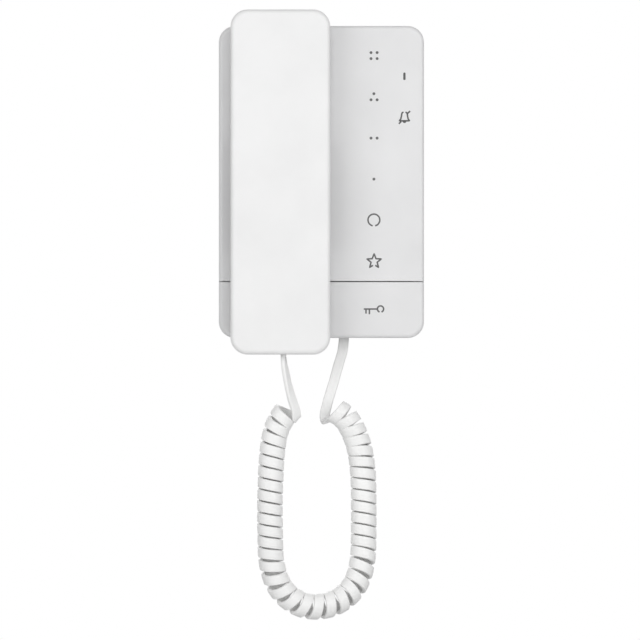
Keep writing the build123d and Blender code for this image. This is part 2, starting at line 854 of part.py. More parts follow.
def jack(x, depth, mouth_z, turned):
    """Modular socket, open at the bottom."""
    body = low_box(jack_width, jack_thickness, jack_length)
    cavity = Pos(0, -latch_thickness / 2, 0) * (plug_shape(fit_gap) + Pos(0, 0, -overrun) * plug_shape(fit_gap))
    return Pos(x, -depth, mouth_z) * Rot(0, 0, turned) * (body - cavity)


def plug(x, depth, mouth_z, turned):
    """Clear plug on the end of the cord, seated in its socket."""
    body = plug_shape(0)
    return Pos(x, -depth, mouth_z) * Rot(0, 0, turned) * Pos(0, -latch_thickness / 2, 0) * body


def handset_profile(front_depth):
    """Side view of the handset behind its parting plane: ear end, slim grip and mouth end."""
    top = handset_height / 2
    points = [
        (-front_depth, top), (-front_depth, -top), (-mouth_back_depth, -top),
        (-mouth_back_depth, grip_bottom - grip_slope), (-grip_back_depth, grip_bottom),
        (-grip_back_depth, grip_top), (-ear_back_depth, grip_top + grip_slope), (-ear_back_depth, top),
    ]
    return Polygon(*points, align=None)


def rounded_profile():
    """The same side view with its heels rounded, and then the corners of its slopes."""
    face = handset_profile(handset_part_depth)
    end_z = handset_height / 2 - overrun
    slopes = [(v.X, v.Y) for v in face.vertices() if abs(v.Y) < end_z]
    heels = [v for v in face.vertices() if abs(v.Y) > end_z and v.X > -grip_back_depth]
    face = fillet(heels, heel_radius)
    again = [v for v in face.vertices() if any(abs(v.X - x) + abs(v.Y - y) < seat_gap for x, y in slopes)]
    return fillet(again, slope_radius)


def handset_rear_shell():
    """Rear half of the handset: ear cup, slim grip, mouth end, seats and sound holes."""
    wide = Pos(handset_x - handset_width / 2, 0, 0)
    solid = wide * extrude(Plane.YZ * rounded_profile(), handset_width)
    solid &= handset_block(0, cup_back_depth - overrun, handset_part_depth)
    solid += soften_back(cup_block(0, cup_back_depth, ear_back_depth + handset_wall), cup_round)
    inner = offset(handset_profile(handset_part_depth + 2 * handset_wall), -handset_wall, kind=Kind.INTERSECTION)
    cavity = wide * extrude(Plane.YZ * inner, handset_width)
    cavity &= handset_block(handset_wall, cup_back_depth - overrun, handset_part_depth + overrun)
    cavity += cup_block(handset_wall, cup_inner_depth, ear_back_depth + 2 * handset_wall)
    body = solid - cavity
    seat = receiver_radius + fit_gap
    body += pipe(
        seat + receiver_seat_wall, seat, receiver_seat_rise + handset_wall / 2,
        handset_x, cup_inner_depth - handset_wall / 2, cup_z,
    )
    boot = mic_radius + pin_gap + mic_boot_wall + fit_gap
    body += pipe(
        boot + mic_seat_wall, boot, mic_seat_rise + handset_wall / 2,
        handset_x, mouth_inner_depth - handset_wall / 2, mic_z,
    )
    body -= rod(dish_radius, dish_sink + overrun, handset_x, cup_back_depth - overrun, cup_z)
    body -= hole_field(
        ear_hole_radius, ear_hole_pitch, ear_hole_rings,
        handset_x, cup_back_depth, cup_inner_depth + seat_gap, cup_z,
    )
    for place in (-1, 0, 1):
        x = handset_x + place * mic_hole_pitch
        body -= rod(mic_hole_radius, handset_wall + 2 * seat_gap, x, mouth_back_depth - seat_gap, mic_z)
    for z in handset_screw_zs:
        body += rod(handset_boss_radius, handset_wall + handset_screw_pad, handset_x, grip_back_depth, z)
        body -= rod(screw_radius + pin_gap, 2 * handset_wall + overrun, handset_x, grip_back_depth - overrun, z)
        sink_back = grip_back_depth - overrun
        body -= rod(screw_head_radius + pin_gap, screw_head_height + seat_gap + overrun, handset_x, sink_back, z)
    return body - jack_opening(handset_jack_x, handset_jack_depth, handset_bottom_z, 90)


def handset_front_shell():
    """Front half of the handset: the plain face, with screw bosses and board posts behind it."""
    body = soften_front(handset_block(0, handset_part_depth, handset_front_depth), handset_round)
    body -= handset_block(handset_wall, handset_part_depth - overrun, handset_inner_depth)
    boss_back = grip_back_depth + handset_wall + handset_screw_pad + seat_gap
    for z in handset_screw_zs:
        body += rod(handset_boss_radius, handset_inner_depth - boss_back, handset_x, boss_back, z)
        body -= rod(screw_radius + pin_gap, handset_screw_length, handset_x, boss_back - seat_gap, z)
    post_back = handset_board_depth + handset_board_thickness + seat_gap
    for x, z in board_corner_places():
        body += rod(handset_board_post_radius, handset_inner_depth - post_back, x, post_back, z)
    return body - jack_opening(handset_jack_x, handset_jack_depth, handset_bottom_z, 90)


def board_corner_places():
    """Posts under two opposite corners of the handset's board."""
    x_reach = handset_board_width / 2 - handset_board_post_inset
    z_reach = handset_board_height / 2 - handset_board_post_inset
    return [(handset_x + side * x_reach, handset_board_z + side * z_reach) for side in (-1, 1)]


def handset_screws():
    """Two screws in the grip that close the handset."""
    return [
        screw(
            screw_radius, screw_head_radius, screw_head_height, handset_screw_length,
            handset_x, grip_back_depth, z,
        )
        for z in handset_screw_zs
    ]


def receiver_capsule():
    """Earpiece: a flat round capsule with its magnet toward the front."""
    back = cup_inner_depth + gasket_thickness + 2 * seat_gap
    magnet = receiver_thickness * receiver_magnet_share
    frame = rod(receiver_radius, receiver_thickness - magnet, handset_x, back, cup_z)
    return frame + rod(receiver_magnet_radius, receiver_thickness, handset_x, back, cup_z)


def receiver_gasket():
    """Foam ring that seals the earpiece to the ear cup."""
    depth = cup_inner_depth + seat_gap
    return pipe(receiver_radius, receiver_radius - gasket_band, gasket_thickness, handset_x, depth, cup_z)


def mic_capsule():
    """Microphone in its boot behind the three mouth holes."""
    return rod(mic_radius, mic_thickness, handset_x, mouth_inner_depth + seat_gap, mic_z)


def mic_boot():
    """Rubber sleeve round the microphone."""
    inner = mic_radius + pin_gap
    return pipe(inner + mic_boot_wall, inner, mic_boot_thickness, handset_x, mouth_inner_depth + seat_gap, mic_z)


def handset_board():
    """Small board that joins the socket, the microphone and the earpiece."""
    return slab(
        handset_board_width, handset_board_height, handset_board_thickness,
        handset_x, handset_board_depth, handset_board_z, board_corner,
    )


def handset_weight():
    """Steel bar that gives the handset its heft."""
    depth = handset_inner_depth - seat_gap - weight_thickness
    return slab(weight_width, weight_height, weight_thickness, handset_x, depth, weight_z, weight_corner)


def catch_plate():
    """Steel plate in the ear cup, opposite the magnet."""
    return slab(catch_width, catch_height, catch_thickness, handset_x, cup_inner_depth + seat_gap, magnet_z)


def receiver_wires():
    """Pair of wires from the handset's board past the weight to the earpiece."""
    wires = []
    board_top = handset_board_z + handset_board_height / 2
    frame_thickness = receiver_thickness * (1 - receiver_magnet_share)
    frame_front = cup_inner_depth + gasket_thickness + 2 * seat_gap + frame_thickness
    end_z = cup_z - (receiver_radius + receiver_magnet_radius) / 2
    start_depth = handset_board_depth + handset_board_thickness / 2
    for index in range(2):
        shift = 3 * wire_radius * index
        start_x = handset_x - handset_board_width / 4 + shift
        points = [
            Vector(start_x, -start_depth, board_top + seat_gap),
            Vector(start_x, -start_depth, board_top + heel_radius + shift),
            Vector(wire_side_x + shift, -start_depth - heel_radius / 2, grip_bottom - grip_slope / 2 + shift),
            Vector(wire_side_x + shift, -start_depth - heel_radius / 2, grip_top - shift),
            Vector(start_x, -frame_front - heel_radius / 2, end_z - grip_slope - shift),
            Vector(start_x, -frame_front - wire_radius - seat_gap, end_z - wire_radius),
        ]
        wires.append(round_tube(points, wire_radius))
    return wires


def arc_radii(points, run_out=0):
    """Radius at each corner of a route, as large as its two runs allow."""
    radii = []
    for index in range(1, len(points) - 1):
        before = points[index] - points[index - 1]
        after = points[index + 1] - points[index]
        half_turn = math.radians(before.get_angle(after)) / 2
        last = index == len(points) - 2
        shorter = min(before.length, after.length + (run_out if last else 0))
        radii.append(arc_share * shorter / math.tan(half_turn))
    return radii


def round_tube(points, radius):
    """Round tube along straight runs joined by tangent arcs."""
    path = FilletPolyline(*points, radius=arc_radii(points))
    start = Plane(origin=points[0], z_dir=points[1] - points[0])
    return sweep(start * Circle(radius), path=path)


def biarc_wire(points, tangents, lead_in=None, lead_out=None):
    """Wire through the points along the tangents, two arcs to a step, with straight ends if given."""
    edges = [Edge.make_line(lead_in, points[0])] if lead_in else []
    for first, second, leave, arrive in zip(points, points[1:], tangents, tangents[1:]):
        gap = second - first
        both = leave + arrive
        if both.length - gap.dot(both) / gap.length < straight_limit:
            edges.append(Edge.make_line(first, second))
            continue
        spread = 2 * (1 - leave.dot(arrive))
        slope = gap.dot(both)
        reach = gap.dot(gap) / (math.sqrt(slope * slope + spread * gap.dot(gap)) + slope)
        middle = (first + leave * reach + second - arrive * reach) * 0.5
        edges.append(Edge.make_tangent_arc(first, leave, middle))
        edges.append(Edge.make_tangent_arc(middle, edges[-1].tangent_at(1), second))
    if lead_out:
        edges.append(Edge.make_line(points[-1], lead_out))
    return Wire(edges)


def key_springs():
    """Two small springs that push the door key back out."""
    springs = []
    low = well_depth + seat_gap + key_spring_wire
    high = base_depth - key_wall - seat_gap - key_spring_wire
    steps = key_spring_turns * stations_per_turn
    for x in key_spring_xs:
        points, tangents = [], []
        for step in range(steps + 1):
            angle = 2 * math.pi * step / stations_per_turn
            depth = low + (high - low) * step / steps
            rise = (high - low) / (2 * math.pi * key_spring_turns)
            points.append(Vector(
                x + key_spring_radius * math.cos(angle), -depth, key_spring_z + key_spring_radius * math.sin(angle)
            ))
            tangents.append(Vector(
                -key_spring_radius * math.sin(angle), -rise, key_spring_radius * math.cos(angle)
            ).normalized())
        path = biarc_wire(points, tangents)
        start = Plane(origin=points[0], z_dir=tangents[0])
        springs.append(sweep(start * Circle(key_spring_wire), path=path))
    return springs


axis_points = [Vector(x, -depth, z) for x, depth, z in axis_route]
axis_line = FilletPolyline(*axis_points, radius=arc_radii(axis_points))


def axis_reach(turn):
    """Length along the coil's axis after so many turns, which lie closer on the legs than on the bend."""
    leg_turns = coil_turns * leg_turns_share
    leg_length = axis_line.length * leg_length_share
    if turn < leg_turns:
        return turn / leg_turns * leg_length
    left = coil_turns - turn
    if left < leg_turns:
        return axis_line.length - left / leg_turns * leg_length
    middle_turns = coil_turns - 2 * leg_turns
    return leg_length + (turn - leg_turns) / middle_turns * (axis_line.length - 2 * leg_length)


def coil_frame(turn):
    """Place on the axis, direction along it, and the outward direction of the cord, after so many turns."""
    reach = axis_reach(turn)
    inside = min(max(reach, 0), axis_line.length)
    along = axis_line.tangent_at(inside, position_mode=PositionMode.LENGTH)
    middle = axis_line.position_at(inside, position_mode=PositionMode.LENGTH) + along * (reach - inside)
    to_user = Vector(0, -1, 0)
    front = (to_user - along * to_user.dot(along)).normalized()
    side = along.cross(front)
    phase = math.radians(first_phase) + 2 * math.pi * turn
    return middle, along, front * math.cos(phase) - side * math.sin(phase)


def coil_point(turn, shift=0):
    """Middle of the cord after so many turns, moved along the axis by shift."""
    middle, along, outward = coil_frame(turn)
    return middle + outward * coil_radius + along * shift


def coil_tangent(turn, shift=0):
    """Direction of the cord after so many turns, or of a copy moved along the axis by shift."""
    ahead, behind = coil_point(turn + slope_step_turns, shift), coil_point(turn - slope_step_turns, shift)
    return (ahead - behind).normalized()


def cord_section():
    """Rounded section of the flat cord, broad along its own x."""
    half, edge = (cord_width - cord_thickness) / 2, cord_thickness / 2
    return make_face([
        Line((-half, -edge), (half, -edge)),
        ThreePointArc((half, -edge), (half + edge, 0), (half, edge)),
        Line((half, edge), (-half, edge)),
        ThreePointArc((-half, edge), (-half - edge, 0), (-half, -edge)),
    ])


def cord_section_area():
    """Area of the flat cord's rounded section."""
    return (cord_width - cord_thickness) * cord_thickness + math.pi * cord_thickness ** 2 / 4


def coil_face(turn, way):
    """Middle of the end face of the coil's straight end, before its first turn or after its last."""
    return coil_point(turn) + coil_tangent(turn) * (way * coil_end_run)


def cord_coil():
    """The curly part of the cord: one flat cord wound round the axis, straight at both ends."""
    steps = round(coil_turns * stations_per_turn)
    turns = [coil_turns * step / steps for step in range(steps + 1)]
    start, end = coil_face(0, -1), coil_face(coil_turns, 1)
    face = Plane(origin=start, x_dir=coil_frame(0)[1], z_dir=coil_tangent(0)) * cord_section()
    stretches, length = [], 0
    for low in range(0, steps, steps_per_sweep):
        span = turns[low:low + steps_per_sweep + 1]
        lead_in = start if low == 0 else None
        lead_out = end if span[-1] == coil_turns else None
        path = coil_wire(span, 0, lead_in, lead_out)
        stretch = sweep(face, path=path, binormal=coil_wire(span, guide_reach, lead_in, lead_out))
        far_end = path.position_at(1)
        face = stretch.faces().sort_by(lambda cap: (cap.center() - far_end).length)[0]
        stretches.append(stretch)
        length += path.length
    coil = stretches[0].fuse(*stretches[1:])
    ratio = coil.volume / (length * cord_section_area())
    print("coil: cord length", round(length, 1), "volume over section times length", round(ratio, 4))
    print("coil: least gap between turns", round(least_gap(), 2))
    return coil


def coil_wire(turns, shift, lead_in, lead_out):
    """The cord's middle line through these turns, or a copy of it moved along the axis by shift."""
    points = [coil_point(turn, shift) for turn in turns]
    tangents = [coil_tangent(turn, shift) for turn in turns]
    if lead_in:
        lead_in = lead_in + coil_frame(turns[0])[1] * shift
    if lead_out:
        lead_out = lead_out + coil_frame(turns[-1])[1] * shift
    return biarc_wire(points, tangents, lead_in, lead_out)


def least_gap():
    """Least distance between neighbouring turns, measured on points of the cord's surface."""
    rings = []
    for step in range(int(coil_turns * gap_stations_per_turn) + 1):
        turn = step / gap_stations_per_turn
        middle, tangent = coil_point(turn), coil_tangent(turn)
        _, along, outward = coil_frame(turn)
        across = (along - tangent * along.dot(tangent)).normalized()
        half_flat, edge = (cord_width - cord_thickness) / 2, cord_thickness / 2
        ring = []
        for side in (-1, 1):
            centre = middle + across * (side * half_flat)
            ring += [centre + outward * edge, centre - outward * edge, centre + across * (side * edge)]
        rings.append(ring)
    least = math.inf
    near = round(gap_stations_per_turn * neighbour_turns_share)
    for index, ring in enumerate(rings):
        for other in rings[index + gap_stations_per_turn - near:index + gap_stations_per_turn + near]:
            least = min(least, min((a - b).length for a in ring for b in other))
    return least


def ribbon(name, points, first_facing, last_facing):
    """Flat lead along straight runs joined by tangent arcs, its broad side turned to each facing in turn."""
    radii = arc_radii(points, coil_end_run)
    path = FilletPolyline(*points, radius=radii)

    def guide_point(share):
        inside = min(max(share, 0), 1) * path.length
        tangent = path.tangent_at(inside, position_mode=PositionMode.LENGTH)
        middle = path.position_at(inside, position_mode=PositionMode.LENGTH)
        middle += tangent * (share * path.length - inside)
        turned = min(max((share - twist_start_share) / twist_length_share, 0), 1)
        facing = first_facing * (1 - turned) + last_facing * turned
        return middle + (facing - tangent * facing.dot(tangent)).normalized() * guide_reach

    shares = [index / lead_stations for index in range(lead_stations + 1)]
    step = 1 / lead_stations ** 2
    guide_points = [guide_point(share) for share in shares]
    guide_tangents = [(guide_point(share + step) - guide_point(share - step)).normalized() for share in shares]
    guide = biarc_wire(guide_points, guide_tangents)
    leave = (points[1] - points[0]).normalized()
    plane = Plane(origin=points[0], x_dir=first_facing.cross(leave), z_dir=leave)
    lead = sweep(plane * cord_section(), path=path, binormal=guide)
    ratio = lead.volume / (path.length * cord_section_area())
    print(name, "length", round(path.length, 1), "arc radii", [round(radius, 1) for radius in radii])
    print(name, "volume over section times length", round(ratio, 4))
    return lead


def base_lead():
    """Lead from the base's plug down to the fold where the coil starts."""
    points = [Vector(x, -depth, z) for x, depth, z in base_lead_route]
    face = coil_face(0, -1)
    points += [face - coil_tangent(0) * fold_exit_run, face]
    return ribbon("base lead", points, Vector(0, -1, 0), coil_frame(0)[2])


def handset_lead():
    """Lead from the handset's plug down to the fold where the coil ends, turning its flat side forward."""
    points = [Vector(x, -depth, z) for x, depth, z in handset_lead_route]
    face = coil_face(coil_turns, 1)
    points += [face + coil_tangent(coil_turns) * fold_exit_run, face]
    return ribbon("handset lead", points, Vector(-1, 0, 0), coil_frame(coil_turns)[2] * -1)


pieces = {
    "wall_bracket": wall_bracket,
    "bracket_lock_screw": bracket_lock_screw,
    "rear_housing": rear_housing,
    "front_cover": front_cover,
    "cover_screws": cover_screws,
    "main_board": main_board,
    "board_screws": board_screws,
    "terminal_block": terminal_block,
    "terminal_screws": terminal_screws,
    "electrolytic_capacitors": electrolytic_capacitors,
    "line_transformer": line_transformer,
    "control_chip": control_chip,
    "config_switch": config_switch,
    "board_header": board_header,
    "ringer_speaker": ringer_speaker,
    "ringer_gasket": ringer_gasket,
    "touch_board": touch_board,
    "light_guide": light_guide,
    "status_lamp": status_lamp,
    "hook_switch": hook_switch,
    "hook_plunger": hook_plunger,
    "holding_magnet": holding_magnet,
    "lock_release_key": lock_release_key,
    "key_springs": key_springs,
    "door_switch": door_switch,
    "door_switch_stem": door_switch_stem,
    "handset_rear_shell": handset_rear_shell,
    "handset_front_shell": handset_front_shell,
    "handset_screws": handset_screws,
    "receiver_capsule": receiver_capsule,
    "receiver_gasket": receiver_gasket,
    "receiver_wires": receiver_wires,
    "mic_capsule": mic_capsule,
    "mic_boot": mic_boot,
    "handset_board": handset_board,
    "handset_weight": handset_weight,
    "catch_plate": catch_plate,
    "base_jack": lambda: jack(base_jack_x, base_jack_depth, jack_mouth_z, 0),
    "base_plug": lambda: plug(base_jack_x, base_jack_depth, jack_mouth_z, 0),
    "handset_jack": lambda: jack(handset_jack_x, handset_jack_depth, handset_mouth_z, 90),
    "handset_plug": lambda: plug(handset_jack_x, handset_jack_depth, handset_mouth_z, 90),
    "base_lead": base_lead,
    "cord_coil": cord_coil,
    "handset_lead": handset_lead,
}

os.makedirs("parts", exist_ok=True)
for name, make in pieces.items():
    made = make()
    shape = Compound(children=made) if isinstance(made, list) else made
    export_step(shape, f"parts/{name}.step")
    print(name)
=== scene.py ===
# %% [markdown]
# A door intercom station for the wall: a flat base with touch symbols, a slim handset held on its
# left side, and a flat curly cord that loops below the two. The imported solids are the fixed
# frame, and everything here is built around them in the same metres: X to the right, Y into the
# wall, Z up.

# %% Load the frame
import bisect
import math

import bpy
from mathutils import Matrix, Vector


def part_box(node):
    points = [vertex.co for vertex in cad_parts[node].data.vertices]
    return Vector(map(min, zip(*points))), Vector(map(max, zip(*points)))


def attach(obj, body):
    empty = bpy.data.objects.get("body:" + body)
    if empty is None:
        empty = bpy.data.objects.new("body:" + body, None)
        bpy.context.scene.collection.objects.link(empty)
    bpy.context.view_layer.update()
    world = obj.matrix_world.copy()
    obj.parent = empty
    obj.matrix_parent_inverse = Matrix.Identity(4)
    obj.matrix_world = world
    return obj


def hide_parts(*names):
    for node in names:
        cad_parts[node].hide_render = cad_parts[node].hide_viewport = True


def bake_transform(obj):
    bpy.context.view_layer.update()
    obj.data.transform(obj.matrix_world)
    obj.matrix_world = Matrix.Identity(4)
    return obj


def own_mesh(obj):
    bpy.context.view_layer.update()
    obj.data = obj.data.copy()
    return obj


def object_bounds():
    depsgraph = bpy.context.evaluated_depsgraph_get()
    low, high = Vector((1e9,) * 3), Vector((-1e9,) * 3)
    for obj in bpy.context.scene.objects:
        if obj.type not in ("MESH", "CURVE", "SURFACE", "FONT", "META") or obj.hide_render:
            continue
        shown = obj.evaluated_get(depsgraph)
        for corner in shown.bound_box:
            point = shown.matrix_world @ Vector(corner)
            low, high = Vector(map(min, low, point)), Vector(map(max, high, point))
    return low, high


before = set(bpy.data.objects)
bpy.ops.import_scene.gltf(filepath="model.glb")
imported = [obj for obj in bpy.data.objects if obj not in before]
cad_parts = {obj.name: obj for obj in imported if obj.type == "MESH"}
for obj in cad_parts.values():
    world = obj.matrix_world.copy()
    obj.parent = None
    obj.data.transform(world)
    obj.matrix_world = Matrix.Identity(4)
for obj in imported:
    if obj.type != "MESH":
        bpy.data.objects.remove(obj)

cad_low, cad_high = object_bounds()
MM = 0.001
print("solids box in mm:", [round(v / MM, 1) for v in (*cad_low, *cad_high)])

# %% [markdown]
# The picture is taken square on, with no side of the base showing, so the camera could stand far
# off with a long lens. A parallel camera gives the same look exactly and makes a pixel a fixed
# length on the wall, which helps to set the small symbols where they belong.

# %% Camera
PIXEL = 0.5192 * MM
FRAME_PIXELS = 640
ZERO_PIXEL = (321.4, 182.0)


def from_pixel(px, py):
    """X and Z of a pixel of the frame, on any plane parallel to the wall."""
    return (px - ZERO_PIXEL[0]) * PIXEL, (ZERO_PIXEL[1] - py) * PIXEL


middle_x, middle_z = from_pixel(FRAME_PIXELS / 2, FRAME_PIXELS / 2)
bpy.ops.object.camera_add(location=(middle_x, -2.0, middle_z), rotation=(math.radians(90), 0, 0))
camera = bpy.context.object
camera.data.type = "ORTHO"
camera.data.ortho_scale = FRAME_PIXELS * PIXEL
bpy.context.scene.camera = camera
bpy.context.scene.view_settings.view_transform = "Standard"
print("frame width in mm:", round(camera.data.ortho_scale / MM, 1))

# %% [markdown]
# The cord is flat telephone cord, 5.3 mm wide and 2.3 mm thick. It leaves the socket in the base,
# turns over in a tight fold, runs through some 38 curls round an invisible axis that hangs in a
# loop, and turns over again to the handset's socket. A bevelled curve can't keep a flat cord's
# broad side turned the right way, so smooth lines are drawn first and the flat section is carried
# along them.

# %% Lines of the cord
LINE_STEPS = 48
AXIS_ROUTE = [
    (7.4, 16.2, -118.8), (11.4, 15.5, -121.0), (15.0, 14.2, -125.7), (17.4, 13.2, -130.8),
    (20.0, 12.6, -138.2), (21.8, 13.0, -151.0), (22.1, 13.6, -172.0), (21.6, 15.6, -205.0),
    (8.2, 19.2, -219.9), (-11.8, 23.4, -221.0), (-26.0, 27.0, -206.0), (-26.9, 29.4, -173.5),
    (-26.3, 30.2, -150.5), (-25.4, 30.4, -138.5), (-24.2, 30.6, -131.0), (-22.1, 30.7, -124.8),
    (-18.1, 30.7, -119.1),
]
BASE_LEAD_ROUTE = [
    (11.7, 8.0, -80.8), (11.5, 8.0, -86.5), (9.0, 9.2, -94.5), (6.5, 10.8, -103.5),
    (3.9, 11.6, -112.0), (2.2, 11.3, -118.4), (1.5, 10.9, -122.1), (2.4, 11.7, -124.5),
]
HANDSET_LEAD_ROUTE = [
    (-19.7, 36.0, -89.4), (-19.6, 36.0, -93.2), (-18.5, 35.6, -99.0), (-17.0, 35.0, -106.5),
    (-15.2, 34.4, -113.0), (-13.2, 34.2, -118.6), (-12.9, 33.3, -123.0),
]


def route(points):
    """Points given as x, distance from the wall and z in millimetres, as vectors in metres."""
    return [Vector((x, -depth, z)) * MM for x, depth, z in points]


def smooth_line(points):
    """Points read from a smooth line that the given points pull into shape."""
    curve = bpy.data.curves.new("line", "CURVE")
    curve.dimensions = "3D"
    spline = curve.splines.new("NURBS")
    spline.points.add(len(points) - 1)
    for knot, place in zip(spline.points, points):
        knot.co = (*place, 1)
    spline.order_u = 3
    spline.use_endpoint_u = True
    spline.resolution_u = LINE_STEPS
    carrier = bpy.data.objects.new("line", curve)
    bpy.context.scene.collection.objects.link(carrier)
    mesh = bpy.data.meshes.new_from_object(carrier)
    places = [vertex.co.copy() for vertex in mesh.vertices]
    bpy.data.objects.remove(carrier)
    bpy.data.curves.remove(curve)
    bpy.data.meshes.remove(mesh)
    return places


def measured(places):
    """The length reached at each point of a line."""
    reached = [0.0]
    for first, second in zip(places, places[1:]):
        reached.append(reached[-1] + (second - first).length)
    return reached


def at_length(places, reached, length):
    """Place and direction on a line at a length, carried straight on past its ends."""
    ahead = min(max(bisect.bisect_right(reached, length), 1), len(reached) - 1)
    before = ahead - 1
    direction = (places[ahead] - places[before]).normalized()
    return places[before] + direction * (length - reached[before]), direction


axis = smooth_line(route(AXIS_ROUTE))
axis_reached = measured(axis)
print("axis of the curls in mm:", round(axis_reached[-1] / MM, 1))

# %% [markdown]
# The curls wind to the left. They lie close on the two straight legs and spread a little where
# the loop turns at the bottom, so the turns are shared out over the three stretches and not
# evenly. The direction of the axis is averaged over a few millimetres, so that no curl jumps
# where the line bends.

# %% The curls
COIL_RADIUS = 5.6 * MM
COIL_END_RUN = 2.6 * MM
FIRST_PHASE = -85.0
LAST_PHASE = 250.0
WHOLE_TURNS = 37
LEG_TURNS_SHARE = 0.3485
LEG_LENGTH_SHARE = 0.3325
SAMPLES_PER_TURN = 42
coil_turns = WHOLE_TURNS + (LAST_PHASE - FIRST_PHASE) / 360
AXIS_AVERAGE = 1.5 * MM
TO_USER = Vector((0, -1, 0))


def axis_length(turn):
    """Length along the axis after so many turns."""
    leg_turns, leg = coil_turns * LEG_TURNS_SHARE, axis_reached[-1] * LEG_LENGTH_SHARE
    if turn < leg_turns:
        return turn / leg_turns * leg
    left = coil_turns - turn
    if left < leg_turns:
        return axis_reached[-1] - left / leg_turns * leg
    return leg + (turn - leg_turns) / (coil_turns - 2 * leg_turns) * (axis_reached[-1] - 2 * leg)


def eased(share):
    """A share from 0 to 1 that starts and stops softly."""
    share = min(max(share, 0.0), 1.0)
    return share * share * (3 - 2 * share)


def curl(turn):
    """Middle of the cord and its outward direction after so many turns."""
    reach = axis_length(turn)
    place, _ = at_length(axis, axis_reached, reach)
    before, _ = at_length(axis, axis_reached, reach - AXIS_AVERAGE)
    after, _ = at_length(axis, axis_reached, reach + AXIS_AVERAGE)
    along = (after - before).normalized()
    front = (TO_USER - along * TO_USER.dot(along)).normalized()
    side = along.cross(front)
    phase = math.radians(FIRST_PHASE) + 2 * math.pi * turn
    outward = front * math.cos(phase) - side * math.sin(phase)
    return place + outward * COIL_RADIUS, outward


def curl_direction(turn):
    """Direction of the cord after so many turns."""
    step = 0.5 / SAMPLES_PER_TURN
    return (curl(turn + step)[0] - curl(turn - step)[0]).normalized()


curl_count = round(coil_turns * SAMPLES_PER_TURN)
turns = [coil_turns * index / curl_count for index in range(curl_count + 1)]
curls = [curl(turn) for turn in turns]
print("turns:", round(coil_turns, 2), "points on them:", len(curls))

# %% [markdown]
# Each lead runs on into the first or the last curl. On the base's side it shows its broad face
# from the plug on. On the handset's side it leaves edge on and turns its broad face forward on
# the way down.

# %% The leads
LEAD_SAMPLES = 90


def lead(points, turn, way, facings):
    """Places and facings from a plug to a curl. The facings are given at shares of the way."""
    start, outward = curl(turn)
    direction = curl_direction(turn) * way
    line = smooth_line(route(points) + [start + direction * COIL_END_RUN, start])
    reached = measured(line)
    steps = facings + [(1.0, outward)]
    made = []
    for index in range(LEAD_SAMPLES):
        share = index / LEAD_SAMPLES
        place, _ = at_length(line, reached, share * reached[-1])
        index_after = next(i for i, step in enumerate(steps) if step[0] > share)
        before, after = steps[index_after - 1], steps[index_after]
        turned = eased((share - before[0]) / (after[0] - before[0]))
        made.append((place, before[1].lerp(after[1], turned)))
    return made


BASE_FACINGS = [(0.0, -TO_USER), (0.84, -TO_USER), (0.93, Vector((-0.2, 0.6, -0.78)))]
HANDSET_FACINGS = [
    (0.0, Vector((0.98, -0.2, 0))), (0.35, Vector((0.89, -0.45, 0))), (0.7, Vector((0.7, -0.7, 0))),
    (0.84, Vector((0.6, -0.8, 0))), (0.94, Vector((0.5, -0.45, -0.74))),
]
base_run = lead(BASE_LEAD_ROUTE, 0, -1, BASE_FACINGS)
handset_run = lead(HANDSET_LEAD_ROUTE, coil_turns, 1, HANDSET_FACINGS)
cord_line = base_run + curls + handset_run[::-1]
cord_reached = measured([place for place, _ in cord_line])
print("cord from plug to plug in mm:", round(cord_reached[-1] / MM, 1))

# %% [markdown]
# The section is a strip with full, rounded edges and four low ridges on each side, one over each
# wire inside, which give the faint lengthwise lines of such a cord. It is set across the line at
# every point and the rings are joined by faces. Its own map runs once along the cord and once
# round it.

# %% The cord's mesh
CORD_WIDTH = 5.3 * MM
CORD_THICKNESS = 2.3 * MM
RIDGE_HEIGHT = 0.09 * MM
WIRES = 4
FLAT_POINTS = 17
EDGE_POINTS = 5
EDGE_FULLNESS = 0.6


def flat_section():
    """Points round the cord's section: across its width and through its thickness."""
    edge = CORD_THICKNESS / 2
    half = CORD_WIDTH / 2 - edge
    points = []
    for side in (1, -1):
        for index in range(FLAT_POINTS):
            share = index / (FLAT_POINTS - 1)
            dip = RIDGE_HEIGHT * (1 + math.cos(2 * math.pi * WIRES * share)) / 2
            points.append((side * half * (1 - 2 * share), side * (edge - dip)))
        for index in range(1, EDGE_POINTS + 1):
            angle = math.pi * index / (EDGE_POINTS + 1)
            out = math.sin(angle) ** EDGE_FULLNESS
            up = math.copysign(abs(math.cos(angle)) ** EDGE_FULLNESS, side * math.cos(angle))
            points.append((-side * (half + edge * out), edge * up))
    return points


section = flat_section()
verts, faces = [], []
count = len(section)
places = [place for place, _ in cord_line]
for index, (place, facing) in enumerate(cord_line):
    before = places[max(index - 1, 0)]
    after = places[min(index + 1, len(places) - 1)]
    direction = (after - before).normalized()
    facing = (facing - direction * facing.dot(direction)).normalized()
    across = direction.cross(facing)
    verts += [place + across * a + facing * b for a, b in section]
for ring in range(len(places) - 1):
    near, far = ring * count, (ring + 1) * count
    for index in range(count):
        ahead = (index + 1) % count
        faces.append((near + index, near + ahead, far + ahead, far + index))
faces.append(tuple(range(count))[::-1])
faces.append(tuple(range((len(places) - 1) * count, len(places) * count)))
cord_mesh = bpy.data.meshes.new("curly_cord")
cord_mesh.from_pydata(verts, [], faces)
cord_map = cord_mesh.uv_layers.new(name="cord_map")
for face in cord_mesh.polygons:
    for corner, vertex in zip(face.loop_indices, face.vertices):
        ring, index = divmod(vertex, count)
        closes = index == 0 and any(v % count == count - 1 for v in face.vertices)
        turn_round = 1.0 if closes else index / count
        cord_map.data[corner].uv = (cord_reached[ring] / CORD_WIDTH, turn_round)
curly_cord = bpy.data.objects.new("curly_cord", cord_mesh)
bpy.context.scene.collection.objects.link(curly_cord)

SMOOTH_ANGLE = math.radians(40)


